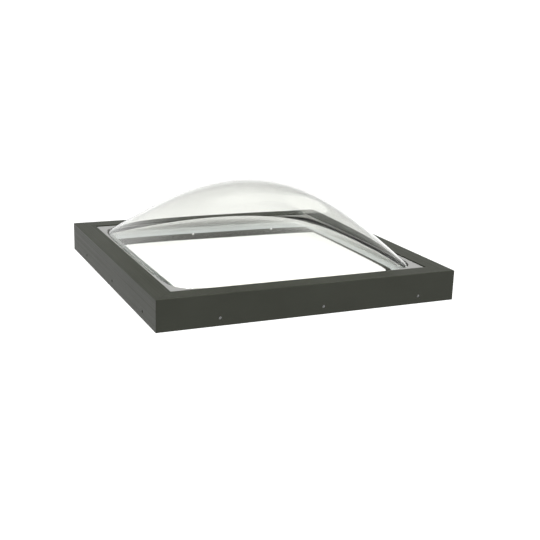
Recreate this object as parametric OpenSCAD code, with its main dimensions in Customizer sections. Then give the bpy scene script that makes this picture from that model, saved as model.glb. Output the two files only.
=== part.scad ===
// Fixed, square, curb-mounted roof skylight with two clear domes in a mitred frame.
// Origin at the middle of the frame's lower edge, X to the right along the front, Y to the back, Z up.
// Sections are drawn as inset (in from the frame's outer face) against height.

/* [Frame] */
// Outside width of the square frame
frame_side = 667; // [450:1:1250]
// Height of the frame, from the skirt's lower edge to its top
frame_h = 65.5; // [60:0.5:120]
// Width of the joint between two mitred lengths
mitre_gap = 0.3; // [0.1:0.1:1]

/* [Retainer] */
// Thickness of the skirt
skirt_t = 2; // [1.5:0.1:3]
// Width of the top leg, from the outer face to the lip's inner face
top_leg_w = 44; // [38:0.5:48]
// Thickness of the top leg
top_leg_t = 2; // [1.5:0.1:3]
// Thickness of the turned-down inner lip
lip_t = 2; // [1.5:0.1:3]
// Radius of the outer top edge
edge_r = 1.6; // [0.5:0.1:2.5]
// Radius of the lip's top edge
lip_r = 1.2; // [0.4:0.1:1.5]
// Width of the gasket pocket behind the lip
pocket_w = 12; // [8:0.5:16]
// Thickness of the rib that closes the pocket
pocket_rib_t = 1.5; // [1:0.1:2.5]
// Thickness of the shelf and of the rib under the key channel
shelf_t = 2; // [1.5:0.1:3]
// Thickness of the hooks that close the key channel
hook_t = 1.5; // [1:0.1:2]
// Height of the hooks
hook_h = 2.5; // [1.5:0.1:4]

/* [Screw holes] */
// Diameter of the screw holes in the skirt
hole_d = 6.4; // [4:0.1:8]
// Height of the screw holes above the skirt's lower edge
hole_z = 16; // [8:0.5:18]
// Number of screw holes on each side
hole_count = 3; // [1:1:5]
// Distance from one screw hole to the next
hole_pitch = 225; // [60:1:300]
// How far the row of holes lies to the right of the side's middle, seen from outside
hole_shift = 22; // [-40:1:40]

/* [Corner keys] */
// Length of a retainer key's legs
key_leg = 50; // [25:1:90]
// Thickness of a retainer key
key_t = 2.6; // [1.5:0.1:3.2]
// Height of a retainer key
key_h = 15.4; // [10:0.1:16]
// Length of a curb frame key's legs
curb_key_leg = 42; // [25:1:80]
// Thickness of a curb frame key
curb_key_t = 2.5; // [1.5:0.1:3.5]
// Height of a curb frame key
curb_key_h = 8; // [6:0.5:11]
// Clearance around the keys
key_clear = 0.2; // [0.1:0.05:0.4]

/* [Domes] */
// Gap between the skirt and the edge of the domes' flanges
flange_gap = 6; // [3:0.5:9]
// Gap between the lip and the foot of the outer dome
dome_gap = 4.5; // [2:0.5:20]
// How much further in than the outer dome the inner dome starts to rise
inner_step = 5; // [3.5:0.5:15]
// Thickness of the outer dome
outer_t = 3; // [2:0.1:4]
// Thickness of the inner dome
inner_t = 2; // [1.5:0.1:3]
// Rise of the outer dome above its flange
outer_rise = 155; // [110:1:220]
// Rise of the inner dome above its flange
inner_rise = 58; // [30:1:90]
// Fullness of the domes: a smaller exponent gives steeper sides and a flatter top
fullness = 0.75; // [0.65:0.05:1]
// How round the corners of the domes' bases are: 0 gives a square base
corner_round = 0.035; // [0.005:0.005:0.2]
// Wall of the domes' steep sides, as a share of their thickness
side_wall = 0.6; // [0.4:0.05:1]

/* [Gasket and tapes] */
// Height of the glazing gasket, from the flange to the top leg
gasket_h = 4.5; // [3.5:0.1:7]
// Thickness of the gasket's foot under the lip
foot_t = 3.4; // [1:0.1:3.8]
// Gap between the gasket's foot and the foot of the outer dome
foot_gap = 0.5; // [0.3:0.1:3.5]
// Clearance of the gasket in its pocket
gasket_clear = 0.2; // [0.1:0.05:0.4]
// Thickness of the tape between the flanges
spacer_t = 1.5; // [1:0.1:3]
// Thickness of the tape under the inner flange
bedding_t = 1.5; // [1:0.1:3]
// Distance from the flanges' edge to the tapes
tape_inset = 4; // [2:0.5:8]
// Distance from the tapes to the foot of the outer dome
tape_setback = 2.5; // [1.5:0.5:25]

/* [Curb frame] */
// Thickness of the seat
seat_t = 3; // [2:0.1:4]
// Gap between the seat's outer edge and the skirt
seat_gap = 0.5; // [0.3:0.1:1]
// Gap between the skirt and the roof curb
curb_gap = 7.5; // [7:0.5:12]
// Thickness of the roof curb's wall
curb_wall = 38; // [34:0.5:45]
// Gap between the roof curb and the locating leg
leg_gap = 2; // [1:0.1:4]
// Thickness of the locating leg
leg_t = 2.5; // [1.5:0.1:4]
// Depth of the locating leg below the seat
leg_drop = 18; // [14:0.5:30]
// Width of the gutter, from the leg's inner face to the nose's inner face
gutter_w = 23; // [18:0.5:40]
// Thickness of the gutter's floor and nose
gutter_t = 2; // [1.5:0.1:3]
// Depth of the gutter's floor below the top of the seat
gutter_drop = 4; // [2:0.1:6]
// Height of the nose above the gutter's floor
nose_h = 5; // [3:0.1:6]
// Radius of the nose's top inner edge
nose_r = 1; // [0.3:0.1:1.4]
// Thickness of the foam seal under the seat
seal_t = 4; // [2:0.1:6]
// Width of the foam seal
seal_w = 32; // [15:0.5:34]
// Distance from the roof curb's outer face to the foam seal
seal_inset = 1.5; // [0:0.1:3]

/* [Hidden] */
$fn = 48;
// Rings of points between a dome's middle and the edge of its rise
dome_rings = 14;
// Points in a ring, a multiple of 8 so that the flange has its corners
dome_spokes = 72;
// How much closer together the points lie at the corners than along the sides
corner_crowding = 0.6;
// How far a cutting shape runs past what it cuts
past = 1;

half_side = frame_side / 2;
// Heights of the stack, from the top leg down
leg_under_z = frame_h - top_leg_t;
outer_top_z = leg_under_z - gasket_h;
outer_z = outer_top_z - outer_t;
inner_top_z = outer_z - spacer_t;
inner_z = inner_top_z - inner_t;
seat_top_z = inner_z - bedding_t;
seat_z = seat_top_z - seat_t;
lip_z = outer_top_z + foot_t;
gutter_top_z = seat_top_z - gutter_drop;
gutter_z = gutter_top_z - gutter_t;
leg_z = seat_z - leg_drop;

// Insets from the frame's outer face
lip_s = top_leg_w - lip_t;
pocket_s = lip_s - pocket_w;
flange_s = skirt_t + flange_gap;
tape_s = flange_s + tape_inset;
tape_w = top_leg_w + dome_gap - tape_setback - tape_s;
curb_s = skirt_t + curb_gap;
leg_s = curb_s + curb_wall + leg_gap;
gutter_s = leg_s + leg_t;
nose_s = gutter_s + gutter_w;
seal_s = curb_s + seal_inset;

// Channels for the corner keys
channel_w = key_t + 2 * key_clear;
channel_h = key_h + 2 * key_clear;
channel_z = seat_z - shelf_t - channel_h;
shelf_s = skirt_t + channel_w + hook_t;
curb_channel_w = curb_key_t + 2 * key_clear;
curb_channel_z = gutter_z - curb_key_h - 2 * key_clear;
curb_rib_z = curb_channel_z - gutter_t;

// Half widths of the domes
flange_half = half_side - flange_s;
outer_half = half_side - top_leg_w - dome_gap;
inner_half = outer_half - inner_step;

bronze = [0.30, 0.30, 0.27];
pale_grey = [0.74, 0.75, 0.74];
clear_acrylic = [0.86, 0.90, 0.90, 0.35];
pale_rubber = [0.80, 0.80, 0.79];
pale_tape = [0.78, 0.78, 0.77];
dark_foam = [0.2, 0.2, 0.2];
mill_metal = [0.66, 0.66, 0.65];

// A rectangle of a section, from its low corner to its high corner
module bar(low, high) {
    translate(low) square(high - low);
}

// What is cut from a square corner at the origin, with the material on +X and +Y, to round it
module corner_cut(r) {
    difference() {
        translate([-past, -past]) square(r + past);
        translate([r, r]) circle(r);
    }
}

// Section of the retainer
module retainer_section() {
    difference() {
        union() {
            bar([0, 0], [skirt_t, frame_h]);
            bar([0, leg_under_z], [top_leg_w, frame_h]);
            bar([lip_s, lip_z], [top_leg_w, frame_h]);
            bar([pocket_s - pocket_rib_t, lip_z], [pocket_s, frame_h]);
            // Shelf under the curb frame's seat, and its hook over the keys
            bar([0, seat_z - shelf_t], [shelf_s, seat_z]);
            bar([shelf_s - hook_t, seat_z - shelf_t - hook_h], [shelf_s, seat_z]);
            // Rib and hook under the keys
            bar([0, channel_z - shelf_t], [shelf_s, channel_z]);
            bar([shelf_s - hook_t, channel_z - shelf_t], [shelf_s, channel_z + hook_h]);
        }
        translate([0, frame_h]) mirror([0, 1]) corner_cut(edge_r);
        translate([top_leg_w, frame_h]) rotate(180) corner_cut(lip_r);
    }
}

// Section of the curb frame
module curb_section() {
    difference() {
        union() {
            bar([skirt_t + seat_gap, seat_z], [gutter_s, seat_top_z]);
            bar([leg_s, leg_z], [gutter_s, seat_top_z]);
            bar([leg_s, gutter_z], [nose_s, gutter_top_z]);
            bar([nose_s - gutter_t, gutter_z], [nose_s, gutter_top_z + nose_h]);
            // Rib and hook that hold the keys against the leg
            bar([leg_s, curb_rib_z], [gutter_s + curb_channel_w + hook_t, curb_channel_z]);
            bar([gutter_s + curb_channel_w, curb_rib_z],
                [gutter_s + curb_channel_w + hook_t, curb_channel_z + hook_h]);
        }
        translate([nose_s, gutter_top_z + nose_h]) rotate(180) corner_cut(nose_r);
        translate([nose_s, gutter_z]) mirror([1, 0]) corner_cut(nose_r);
    }
}

// A length along the front with its children's section, mitred at both ends
module mitred_length() {
    back_off = mitre_gap / sqrt(2);
    intersection() {
        translate([-half_side, -half_side, 0]) rotate([90, 0, 90]) linear_extrude(frame_side) children();
        translate([0, 0, -past]) linear_extrude(frame_h + 2 * past)
            polygon([[back_off - half_side, -half_side], [half_side - back_off, -half_side], [0, -back_off]]);
    }
}

module retainer_length() {
    color(bronze) difference() {
        mitred_length() retainer_section();
        for (i = [0 : hole_count - 1])
            translate([hole_shift + (i - (hole_count - 1) / 2) * hole_pitch, -half_side - past, hole_z])
                rotate([-90, 0, 0]) cylinder(d = hole_d, h = skirt_t + 2 * past);
    }
}

module curb_frame_length() {
    color(pale_grey) mitred_length() curb_section();
}

// A square ring around the part, from one inset and height to another
module square_ring(inset, width, z, height) {
    translate([0, 0, z]) linear_extrude(height) difference() {
        square(frame_side - 2 * inset, center = true);
        square(frame_side - 2 * (inset + width), center = true);
    }
}

// An L-shaped key in each corner, its outer faces at the inset
module corner_keys(inset, leg, thickness, z, height) {
    for (turn = [0 : 90 : 270])
        rotate(turn) translate([inset - half_side, inset - half_side, z]) linear_extrude(height) union() {
            square([leg, thickness]);
            square([thickness, leg]);
        }
}

module retainer_keys() {
    color(mill_metal)
        corner_keys(skirt_t + key_clear, key_leg, key_t, channel_z + key_clear, key_h);
}

module curb_keys() {
    color(mill_metal)
        corner_keys(gutter_s + key_clear, curb_key_leg, curb_key_t, curb_channel_z + key_clear, curb_key_h);
}

// The gasket's body fills the pocket, and its foot covers the flange up to the rounded foot of the dome
module glazing_gasket() {
    foot_s = pocket_s - pocket_rib_t;
    color(pale_rubber) union() {
        square_ring(pocket_s + gasket_clear, pocket_w - 2 * gasket_clear, outer_top_z, gasket_h);
        translate([0, 0, outer_top_z]) linear_extrude(foot_t) difference() {
            square(frame_side - 2 * foot_s, center = true);
            polygon([for (p = dome_ring(outer_half + foot_gap, 1, 0, 0)) [p[0], p[1]]]);
        }
    }
}

module spacer_tape() {
    color(pale_tape) square_ring(tape_s, tape_w, inner_top_z, spacer_t);
}

module bedding_tape() {
    color(pale_tape) square_ring(tape_s, tape_w, seat_top_z, bedding_t);
}

module curb_seal() {
    color(dark_foam) square_ring(seal_s, seal_w, seat_z - seal_t, seal_t);
}

// Directions of a ring's points
spokes_at = [
    for (i = [0 : dome_spokes - 1])
        let (even = 360 * i / dome_spokes)
        even + corner_crowding * sin(4 * even) * 45 / PI
];

// Distance from a dome's middle to the edge of its rise in a direction, in half widths of the square
// that the rounded base is drawn in
function base_reach(turn) =
    let (skew = pow(sin(2 * turn) / 2, 2))
    sqrt(skew < 1e-9 ? 1 - corner_round : (1 - sqrt(1 - 4 * skew * (1 - corner_round))) / (2 * skew));

// Share of a dome's rise at a point given in half widths of the same square
function dome_share(u, v) =
    pow(max(0, (1 - u * u) * (1 - v * v) - corner_round) / (1 - corner_round), fullness);

// A ring of points on a dome, at a share of the way from its middle to the edge of its rise
function dome_ring(half, share, z, rise) =
    let (scale_to = half / sqrt(1 - corner_round))
    [for (turn = spokes_at)
        let (reach = share * base_reach(turn), u = reach * cos(turn), v = reach * sin(turn))
        [scale_to * u, scale_to * v, z + rise * dome_share(u, v)]];

// The square edge of a flange, at the same directions
function flange_ring(half, z) =
    [for (turn = spokes_at)
        let (reach = half / max(abs(cos(turn)), abs(sin(turn))))
        [reach * cos(turn), reach * sin(turn), z]];

// One face of a dome with its flange: the middle, then rings that lie closer towards the edge of the rise
function dome_face(half, z, rise) = concat(
    [[0, 0, z + rise]],
    [for (k = [1 : dome_rings]) each dome_ring(half, sin(90 * k / dome_rings), z, rise)],
    flange_ring(flange_half, z)
);

function flipped(face) = [face[0], face[2], face[1]];

// A clear dome with a flat flange: its upper and lower faces, joined around the flange's edge
module dome(half, thickness, z, rise) {
    points = concat(
        dome_face(half, z + thickness, rise),
        dome_face(half - side_wall * thickness, z, rise)
    );
    count = len(points) / 2;
    spokes = [for (i = [0 : dome_spokes - 1]) [i + 1, (i + 1) % dome_spokes + 1]];
    edge = dome_rings * dome_spokes;
    upper = concat(
        [for (s = spokes) [0, s[1], s[0]]],
        [for (k = [0 : dome_rings - 1]) for (s = spokes)
            let (near = k * dome_spokes, far = near + dome_spokes)
            each [[near + s[0], near + s[1], far + s[1]], [near + s[0], far + s[1], far + s[0]]]]
    );
    lower = [for (f = upper) flipped(f) + [count, count, count]];
    side = [
        for (s = spokes)
            let (a = edge + s[0], b = edge + s[1])
            each [[a, b, b + count], [a, b + count, a + count]]
    ];
    polyhedron(points, concat(upper, lower, side));
}

module outer_dome() {
    color(clear_acrylic) dome(outer_half, outer_t, outer_z, outer_rise);
}

module inner_dome() {
    color(clear_acrylic) dome(inner_half, inner_t, inner_z, inner_rise);
}

module retainer_front() { retainer_length(); }
module retainer_right() { rotate(90) retainer_length(); }
module retainer_rear() { rotate(180) retainer_length(); }
module retainer_left() { rotate(270) retainer_length(); }

module curb_frame_front() { curb_frame_length(); }
module curb_frame_right() { rotate(90) curb_frame_length(); }
module curb_frame_rear() { rotate(180) curb_frame_length(); }
module curb_frame_left() { rotate(270) curb_frame_length(); }

retainer_front();
retainer_right();
retainer_rear();
retainer_left();
retainer_keys();
glazing_gasket();
outer_dome();
spacer_tape();
inner_dome();
bedding_tape();
curb_frame_front();
curb_frame_right();
curb_frame_rear();
curb_frame_left();
curb_keys();
curb_seal();
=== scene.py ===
"""Looks of a fixed, square roof skylight: a clear double dome in a dark, mitred frame."""

import math

import bpy
from mathutils import Matrix, Vector


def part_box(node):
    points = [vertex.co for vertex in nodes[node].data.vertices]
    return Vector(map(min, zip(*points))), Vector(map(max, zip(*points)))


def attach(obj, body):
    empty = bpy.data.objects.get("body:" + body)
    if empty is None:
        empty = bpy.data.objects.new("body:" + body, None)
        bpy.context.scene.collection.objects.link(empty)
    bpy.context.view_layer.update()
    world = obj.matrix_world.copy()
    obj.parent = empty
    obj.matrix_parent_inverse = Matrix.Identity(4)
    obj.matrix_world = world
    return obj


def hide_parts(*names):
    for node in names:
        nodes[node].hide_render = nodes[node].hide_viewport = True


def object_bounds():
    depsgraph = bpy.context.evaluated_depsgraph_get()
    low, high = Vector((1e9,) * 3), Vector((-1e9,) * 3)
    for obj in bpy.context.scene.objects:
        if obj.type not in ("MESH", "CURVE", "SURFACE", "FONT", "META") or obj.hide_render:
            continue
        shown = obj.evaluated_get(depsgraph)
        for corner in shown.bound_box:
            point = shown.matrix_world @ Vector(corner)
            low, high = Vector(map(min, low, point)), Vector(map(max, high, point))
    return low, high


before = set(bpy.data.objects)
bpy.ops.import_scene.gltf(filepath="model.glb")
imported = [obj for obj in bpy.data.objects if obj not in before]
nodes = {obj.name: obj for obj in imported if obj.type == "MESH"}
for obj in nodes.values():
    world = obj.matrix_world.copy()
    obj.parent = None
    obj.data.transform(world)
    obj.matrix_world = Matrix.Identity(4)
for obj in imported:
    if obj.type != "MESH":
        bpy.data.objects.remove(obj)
cad_low, cad_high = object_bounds()
SIDES = ("front", "right", "rear", "left")

# Camera, fitted to the photograph's square frame: angles in degrees, lengths in metres, lens and sensor in mm
CAMERA_AZIMUTH = -24.53
CAMERA_ELEVATION = 15.66
CAMERA_ROLL = 1.81
CAMERA_DISTANCE = 2.123
CAMERA_TARGET = Vector((-0.0064, -0.1263, 0.040))
CAMERA_LENS = 64.4
SENSOR = 36.0

# Domes, in metres: the shape is the part's own formula
OUTER_HALF, OUTER_WALL = 0.285, 0.003
INNER_HALF, INNER_WALL = 0.280, 0.002
# A smaller exponent gives steeper sides and a flatter top
FULLNESS = 0.75
# How round the corners of the bases are: 0 gives a square base
CORNER_ROUND = 0.035
# Wall of the steep sides, as a share of the thickness
SIDE_WALL = 0.6
# Share of a dome's reach, to either side of its foot, over which it bends into its flange
FOOT_BEND = 0.0015
# Rings past the foot, and the share of the reach at which the last of them lies
FOOT_RINGS = 4
FOOT_REACH = 1.002
DOME_SPOKES = 192
DOME_RINGS = 44
# How much closer together the spokes lie towards the corners
CORNER_CROWDING = 0.6
# Edges that turn by more than this stay sharp
SHARP_ANGLE = math.radians(35)

# Sealant in the mitre joints, in metres, set back from the outer faces and clear of the joint's walls
SEALANT_INSET = 0.001
SEALANT_DEPTH = 0.0008
SEALANT_WIDTH = 0.0002
# Faces of a box whose points are its lower and then its upper corners, in turn
BOX_FACES = ((3, 2, 1, 0), (4, 5, 6, 7), (0, 1, 5, 4), (1, 2, 6, 5), (2, 3, 7, 6), (3, 0, 4, 7))

# Dark and light end of each material's shades
BRONZE = (0.0295, 0.0315, 0.0235), (0.0345, 0.0370, 0.0280)
# The curb frame's pale grey, with a slight bluish cast that is a painted reflection of bluish light
PALE_GREY = (0.665, 0.70, 0.71), (0.715, 0.75, 0.76)
MILL_GREY = (0.55, 0.55, 0.54), (0.68, 0.68, 0.67)
TAPE_GREY = (0.55, 0.55, 0.54), (0.62, 0.62, 0.61)
RUBBER_GREY = (0.24, 0.24, 0.232), (0.272, 0.272, 0.263)
FOAM_BLACK = (0.03, 0.03, 0.03), (0.07, 0.07, 0.068)
FLOOR_GREY = (0.22, 0.22, 0.22), (0.23, 0.23, 0.23)
ACRYLIC_TINT = (0.905, 0.91, 0.885, 1.0)
# Lower than real acrylic's 1.49, because the photograph's reflections are faint
ACRYLIC_INDEX = 1.25
WHITE = (1.0, 1.0, 1.0, 1.0)

# Floor, in metres: radius and height of each ring of a shallow bowl that glows
FLOOR_RINGS = ((1.0, 0.0), (40.0, 0.0), (60.0, 4.0))
FLOOR_SPOKES = 96
FLOOR_GLOW = 0.86
# Floor inside the skirt, with insets from the frame's outer faces: painted shade from the front skirt to past
# the front leg, and a painted pool of light under the light well
PATCH_INSET = 0.0023
SHADE_INSET = 0.0585
PATCH_HALF = cad_high.x - PATCH_INSET
SHADE_END = SHADE_INSET - cad_high.y
PATCH_Z = 0.0004
# Glow of the painted pool of light under the light well, and of the painted shade
LIGHT_POOL_GLOW = 1.5
SHADE_GLOW = 0.15
# Surround: strength at the horizon and overhead, and the two heights between which it fades, as a sine
HORIZON = 1.0
ZENITH = 0.1
FADE_START, FADE_END = 0.1, 0.62
# Key light, with its angles in degrees
KEY_AZIMUTH = -35.0
KEY_ELEVATION = 78.0
KEY_ANGLE = 20.0
KEY_STRENGTH = 4.8


def new_material(name):
    """A material with one Principled shader, and its node tree."""
    material = bpy.data.materials.new(name)
    material.use_nodes = True
    tree = material.node_tree
    shader = next(n for n in tree.nodes if n.type == "BSDF_PRINCIPLED")
    return material, tree, shader


def noise(tree, cells, detail=3.0):
    """A noise with that many cells in a metre along X, Y and Z."""
    coordinates = tree.nodes.new("ShaderNodeTexCoord")
    mapping = tree.nodes.new("ShaderNodeMapping")
    mapping.inputs["Scale"].default_value = cells
    tree.links.new(coordinates.outputs["Object"], mapping.inputs["Vector"])
    texture = tree.nodes.new("ShaderNodeTexNoise")
    texture.inputs["Scale"].default_value = 1.0
    texture.inputs["Detail"].default_value = detail
    tree.links.new(mapping.outputs["Vector"], texture.inputs["Vector"])
    return texture.outputs["Fac"]


def evenly(cells):
    """The same number of cells along X, Y and Z."""
    return cells, cells, cells


def along(axis, length, across):
    """Cells of a grain that is long in one axis, 0 or 1, and fine in the other two."""
    return tuple(length if i == axis else across for i in range(3))


def spread(tree, source, low, high, start=0.3, end=0.7):
    """source mapped from start..end to low..high."""
    mapped = tree.nodes.new("ShaderNodeMapRange")
    for socket, value in zip(("From Min", "From Max", "To Min", "To Max"), (start, end, low, high)):
        mapped.inputs[socket].default_value = value
    tree.links.new(source, mapped.inputs["Value"])
    return mapped.outputs["Result"]


def shades(tree, source, dark, light, start=0.3, end=0.7):
    """A colour between dark and light by source."""
    ramp = tree.nodes.new("ShaderNodeValToRGB")
    low, high = ramp.color_ramp.elements
    low.position, high.position = start, end
    low.color, high.color = (*dark, 1.0), (*light, 1.0)
    tree.links.new(source, ramp.inputs["Fac"])
    return ramp.outputs["Color"]


def bump(tree, shader, source, height, strength, under=None):
    """Raises the surface by source times height, in metres, on top of an earlier bump."""
    relief = tree.nodes.new("ShaderNodeBump")
    relief.inputs["Distance"].default_value = height
    relief.inputs["Strength"].default_value = strength
    tree.links.new(source, relief.inputs["Height"])
    if under is not None:
        tree.links.new(under, relief.inputs["Normal"])
    tree.links.new(relief.outputs["Normal"], shader.inputs["Normal"])
    return relief.outputs["Normal"]


def painted_aluminium(name, axis):
    """Dark bronze coating on an extrusion whose die lines run along axis."""
    material, tree, shader = new_material(name)
    cloud = noise(tree, evenly(9))
    tree.links.new(shades(tree, cloud, *BRONZE), shader.inputs["Base Color"])
    lines = noise(tree, along(axis, length=1.5, across=900), detail=2)
    tree.links.new(spread(tree, lines, low=0.44, high=0.56), shader.inputs["Roughness"])
    shader.inputs["Specular IOR Level"].default_value = 0.16
    peel = noise(tree, evenly(1400), detail=1)
    fine = bump(tree, shader, peel, height=0.00002, strength=0.5)
    bump(tree, shader, lines, height=0.00002, strength=0.4, under=fine)
    return material


def pale_aluminium(name, axis):
    """Pale grey satin coating of the curb frame, its bluish cast a painted reflection, with die lines along
    axis.
    """
    material, tree, shader = new_material(name)
    cloud = noise(tree, evenly(7))
    tree.links.new(shades(tree, cloud, *PALE_GREY), shader.inputs["Base Color"])
    lines = noise(tree, along(axis, length=1.5, across=700), detail=2)
    tree.links.new(spread(tree, lines, low=0.38, high=0.5), shader.inputs["Roughness"])
    bump(tree, shader, lines, height=0.00003, strength=0.4)
    return material


def clear_acrylic(name):
    """Clear acrylic with the slight waviness of a blown dome."""
    material, tree, shader = new_material(name)
    shader.inputs["Base Color"].default_value = ACRYLIC_TINT
    shader.inputs["Transmission Weight"].default_value = 1.0
    shader.inputs["IOR"].default_value = ACRYLIC_INDEX
    shader.inputs["Specular IOR Level"].default_value = 0.2
    haze = noise(tree, evenly(14), detail=4)
    tree.links.new(spread(tree, haze, low=0.0, high=0.03), shader.inputs["Roughness"])
    wave = noise(tree, evenly(6), detail=1)
    bump(tree, shader, wave, height=0.0004, strength=0.3)
    return material


def rubber(name, colours, cells, height):
    """Matt rubber, tape, foam or sealant with a grain of that many cells in a metre."""
    material, tree, shader = new_material(name)
    speck = noise(tree, evenly(cells), detail=4)
    tree.links.new(shades(tree, speck, *colours), shader.inputs["Base Color"])
    tree.links.new(spread(tree, speck, low=0.7, high=0.9), shader.inputs["Roughness"])
    bump(tree, shader, speck, height, strength=0.8)
    return material


def mill_metal(name):
    """Bare extruded aluminium of the corner keys, with die lines that run upwards."""
    material, tree, shader = new_material(name)
    shader.inputs["Metallic"].default_value = 1.0
    lines = noise(tree, (300, 300, 4))
    tree.links.new(shades(tree, lines, *MILL_GREY), shader.inputs["Base Color"])
    tree.links.new(spread(tree, lines, low=0.3, high=0.45), shader.inputs["Roughness"])
    bump(tree, shader, lines, height=0.00003, strength=0.5)
    return material


def light_table(name, glow):
    """Pale, matt studio floor with a soft glow of its own, as a light table has."""
    material, tree, shader = new_material(name)
    cloud = noise(tree, evenly(3), detail=4)
    tree.links.new(shades(tree, cloud, *FLOOR_GREY), shader.inputs["Base Color"])
    shader.inputs["Roughness"].default_value = 0.9
    shader.inputs["Specular IOR Level"].default_value = 0.1
    shader.inputs["Emission Color"].default_value = WHITE
    shader.inputs["Emission Strength"].default_value = glow
    return material


def paint(node, material):
    """Gives a CAD node one material on all its slots."""
    mesh = nodes[node].data
    mesh.materials.clear()
    mesh.materials.append(material)


def new_piece(name, points, faces, material):
    """A smooth mesh object with sharp corners kept."""
    mesh = bpy.data.meshes.new(name)
    mesh.from_pydata(points, [], faces)
    mesh.validate()
    mesh.polygons.foreach_set("use_smooth", [True] * len(mesh.polygons))
    mesh.set_sharp_from_angle(angle=SHARP_ANGLE)
    mesh.materials.append(material)
    made = bpy.data.objects.new(name, mesh)
    bpy.context.scene.collection.objects.link(made)
    return made


def ring_faces(count, spokes):
    """Faces of a sheet of count points: its middle, then rings around it with one point on each spoke."""
    after = [(i + 1) % spokes for i in range(spokes)]
    starts = range(1, count, spokes)
    faces = [(0, 1 + i, 1 + after[i]) for i in range(spokes)]
    for near, far in zip(starts, starts[1:]):
        faces += [(near + i, far + i, far + after[i], near + after[i]) for i in range(spokes)]
    return faces


def base_reach(turn):
    """Distance from a dome's middle to the foot of its rise, in half widths of the formula's square."""
    skew = (math.sin(2 * turn) / 2) ** 2
    if skew < 1e-9:
        return math.sqrt(1 - CORNER_ROUND)
    return math.sqrt((1 - math.sqrt(1 - 4 * skew * (1 - CORNER_ROUND))) / (2 * skew))


def dome_share(share, turn):
    """Share of a dome's rise at a share of the way to its foot, with the foot bent softly into the flange."""
    inward = 1 - share
    if inward < FOOT_BEND:
        inward = max(0.0, inward + FOOT_BEND) ** 2 / (4 * FOOT_BEND)
    reach = (1 - inward) * base_reach(turn)
    u, v = reach * math.cos(turn), reach * math.sin(turn)
    lift = ((1 - u * u) * (1 - v * v) - CORNER_ROUND) / (1 - CORNER_ROUND)
    return max(0.0, lift) ** FULLNESS


def dome_face(half, edge, z, rise):
    """Points of one face of a dome: the middle, the rings of the rise, and the flange's square edge."""
    scale = half / math.sqrt(1 - CORNER_ROUND)
    even = [2 * math.pi * i / DOME_SPOKES for i in range(DOME_SPOKES)]
    turns = [t + CORNER_CROWDING * math.sin(4 * t) / 4 for t in even]
    shares = [math.sin(math.pi / 2 * k / DOME_RINGS) for k in range(1, DOME_RINGS + 1)]
    shares += [1 + (FOOT_REACH - 1) * k / FOOT_RINGS for k in range(1, FOOT_RINGS + 1)]
    points = [(0, 0, z + rise)]
    for share in shares:
        for turn in turns:
            reach = scale * share * base_reach(turn)
            height = z + rise * dome_share(share, turn)
            points.append((reach * math.cos(turn), reach * math.sin(turn), height))
    for turn in turns:
        reach = edge / max(abs(math.cos(turn)), abs(math.sin(turn)))
        points.append((reach * math.cos(turn), reach * math.sin(turn), z))
    return points


def dome(node, half, wall, material):
    """A smooth dome in the place of a CAD dome: upper and lower face, joined around the flange's edge."""
    low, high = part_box(node)
    rise = high.z - low.z - wall
    upper = dome_face(half, high.x, low.z + wall, rise)
    lower = dome_face(half - SIDE_WALL * wall, high.x, low.z, rise)
    count = len(upper)
    faces = ring_faces(count, DOME_SPOKES)
    faces += [tuple(count + i for i in reversed(face)) for face in faces]
    edge = [count - DOME_SPOKES + i for i in range(DOME_SPOKES)]
    for here, there in zip(edge, edge[1:] + edge[:1]):
        faces.append((here, here + count, there + count, there))
    piece = new_piece(f"clear_{node}", upper + lower, faces, material)
    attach(piece, "root")
    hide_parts(node)


def corner_sealant():
    """Sealant in the four mitre joints of the skirt, so that no light shows through them."""
    low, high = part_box("retainer_front")
    outer = cad_high.x - SEALANT_INSET
    inner = outer - SEALANT_DEPTH
    skew = SEALANT_WIDTH / 2 / math.sqrt(2)
    corners = [(outer + skew, outer - skew), (outer - skew, outer + skew)]
    corners += [(inner - skew, inner + skew), (inner + skew, inner - skew)]
    points, faces = [], []
    for turn in range(len(SIDES)):
        first = len(points)
        spin = Matrix.Rotation(turn * math.pi / 2, 3, "Z")
        for z in (low.z, high.z - SEALANT_INSET):
            points += [spin @ Vector((x, y, z)) for x, y in corners]
        faces += [tuple(first + i for i in face) for face in BOX_FACES]
    piece = new_piece("corner_sealant", points, faces, rubber("sealant", BRONZE, cells=1200, height=0.00003))
    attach(piece, "root")


def dress_frame():
    """Materials of the CAD nodes that stay as they are."""
    for turn, side in enumerate(SIDES):
        axis = turn % 2
        paint(f"retainer_{side}", painted_aluminium(f"bronze_{side}", axis))
        paint(f"curb_frame_{side}", pale_aluminium(f"pale_grey_{side}", axis))
    keys = mill_metal("key_metal")
    paint("retainer_keys", keys)
    paint("curb_keys", keys)
    tape = rubber("pale_tape", TAPE_GREY, cells=900, height=0.00004)
    paint("spacer_tape", tape)
    paint("bedding_tape", tape)
    paint("glazing_gasket", rubber("pale_rubber", RUBBER_GREY, cells=1200, height=0.00003))
    paint("curb_seal", rubber("dark_foam", FOAM_BLACK, cells=700, height=0.0003))


def floor_patch(name, front, back, glow):
    """A piece of the floor inside the skirt, from front to back along Y, with a glow of its own: low for
    painted shade, high for a painted pool of light.
    """
    corners = [(x, y, PATCH_Z) for x, y in (
        (-PATCH_HALF, front), (PATCH_HALF, front), (PATCH_HALF, back), (-PATCH_HALF, back),
    )]
    material = light_table(f"light_table_{name}", glow)
    new_piece(f"floor_{name}", corners, [(0, 1, 2, 3)], material)


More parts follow.
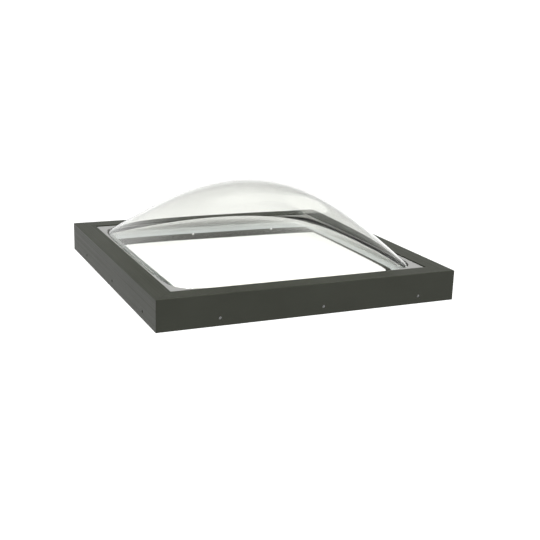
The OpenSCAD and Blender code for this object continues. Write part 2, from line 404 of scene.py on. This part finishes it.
def add_floor():
    """A round, pale, glowing floor with a raised rim, and its two patches inside the skirt: painted shade and
    a painted pool of light.
    """
    turns = [2 * math.pi * i / FLOOR_SPOKES for i in range(FLOOR_SPOKES)]
    points = [(0.0, 0.0, 0.0)]
    for radius, z in FLOOR_RINGS:
        points += [(radius * math.cos(turn), radius * math.sin(turn), z) for turn in turns]
    faces = ring_faces(len(points), FLOOR_SPOKES)
    new_piece("floor", points, faces, light_table("light_table", FLOOR_GLOW))
    # Painted shade under the front channel, and a painted pool of light under the rest of the skirt
    floor_patch("shade", -PATCH_HALF, SHADE_END, SHADE_GLOW)
    floor_patch("well", SHADE_END, PATCH_HALF, LIGHT_POOL_GLOW)


def add_surround():
    """A white surround that is bright at the horizon and dim overhead."""
    world = bpy.data.worlds.new("surround")
    world.use_nodes = True
    tree = world.node_tree
    background = next(n for n in tree.nodes if n.type == "BACKGROUND")
    background.inputs["Color"].default_value = WHITE
    direction = tree.nodes.new("ShaderNodeTexCoord")
    parts = tree.nodes.new("ShaderNodeSeparateXYZ")
    tree.links.new(direction.outputs["Generated"], parts.inputs["Vector"])
    fade = spread(tree, parts.outputs["Z"], HORIZON, ZENITH, FADE_START, FADE_END)
    tree.links.new(fade, background.inputs["Strength"])
    bpy.context.scene.world = world


def add_key_light():
    """One soft light from high on the camera's side."""
    key = bpy.data.lights.new("key", "SUN")
    key.energy = KEY_STRENGTH
    key.angle = math.radians(KEY_ANGLE)
    lamp = bpy.data.objects.new("key", key)
    lamp.rotation_euler = (math.radians(90 - KEY_ELEVATION), 0.0, math.radians(KEY_AZIMUTH))
    bpy.context.scene.collection.objects.link(lamp)


def add_camera():
    """A camera at the photograph's angle, with colours shown as they are."""
    azimuth, elevation, roll = map(math.radians, (CAMERA_AZIMUTH, CAMERA_ELEVATION, CAMERA_ROLL))
    level = math.cos(elevation)
    back = Vector((math.sin(azimuth) * level, -math.cos(azimuth) * level, math.sin(elevation)))
    right = (-back).cross(Vector((0, 0, 1))).normalized()
    up = right.cross(-back)
    across = right * math.cos(roll) + up * math.sin(roll)
    upward = up * math.cos(roll) - right * math.sin(roll)
    data = bpy.data.cameras.new("camera")
    data.sensor_width = SENSOR
    data.lens = CAMERA_LENS
    camera = bpy.data.objects.new("camera", data)
    turned = Matrix((across, upward, back)).transposed()
    camera.matrix_world = Matrix.Translation(CAMERA_TARGET + back * CAMERA_DISTANCE) @ turned.to_4x4()
    bpy.context.scene.collection.objects.link(camera)
    bpy.context.scene.camera = camera
    bpy.context.scene.view_settings.view_transform = "Standard"


dress_frame()
acrylic = clear_acrylic("clear_acrylic")
dome("outer_dome", OUTER_HALF, OUTER_WALL, acrylic)
dome("inner_dome", INNER_HALF, INNER_WALL, acrylic)
corner_sealant()
add_floor()
add_surround()
add_key_light()
add_camera()
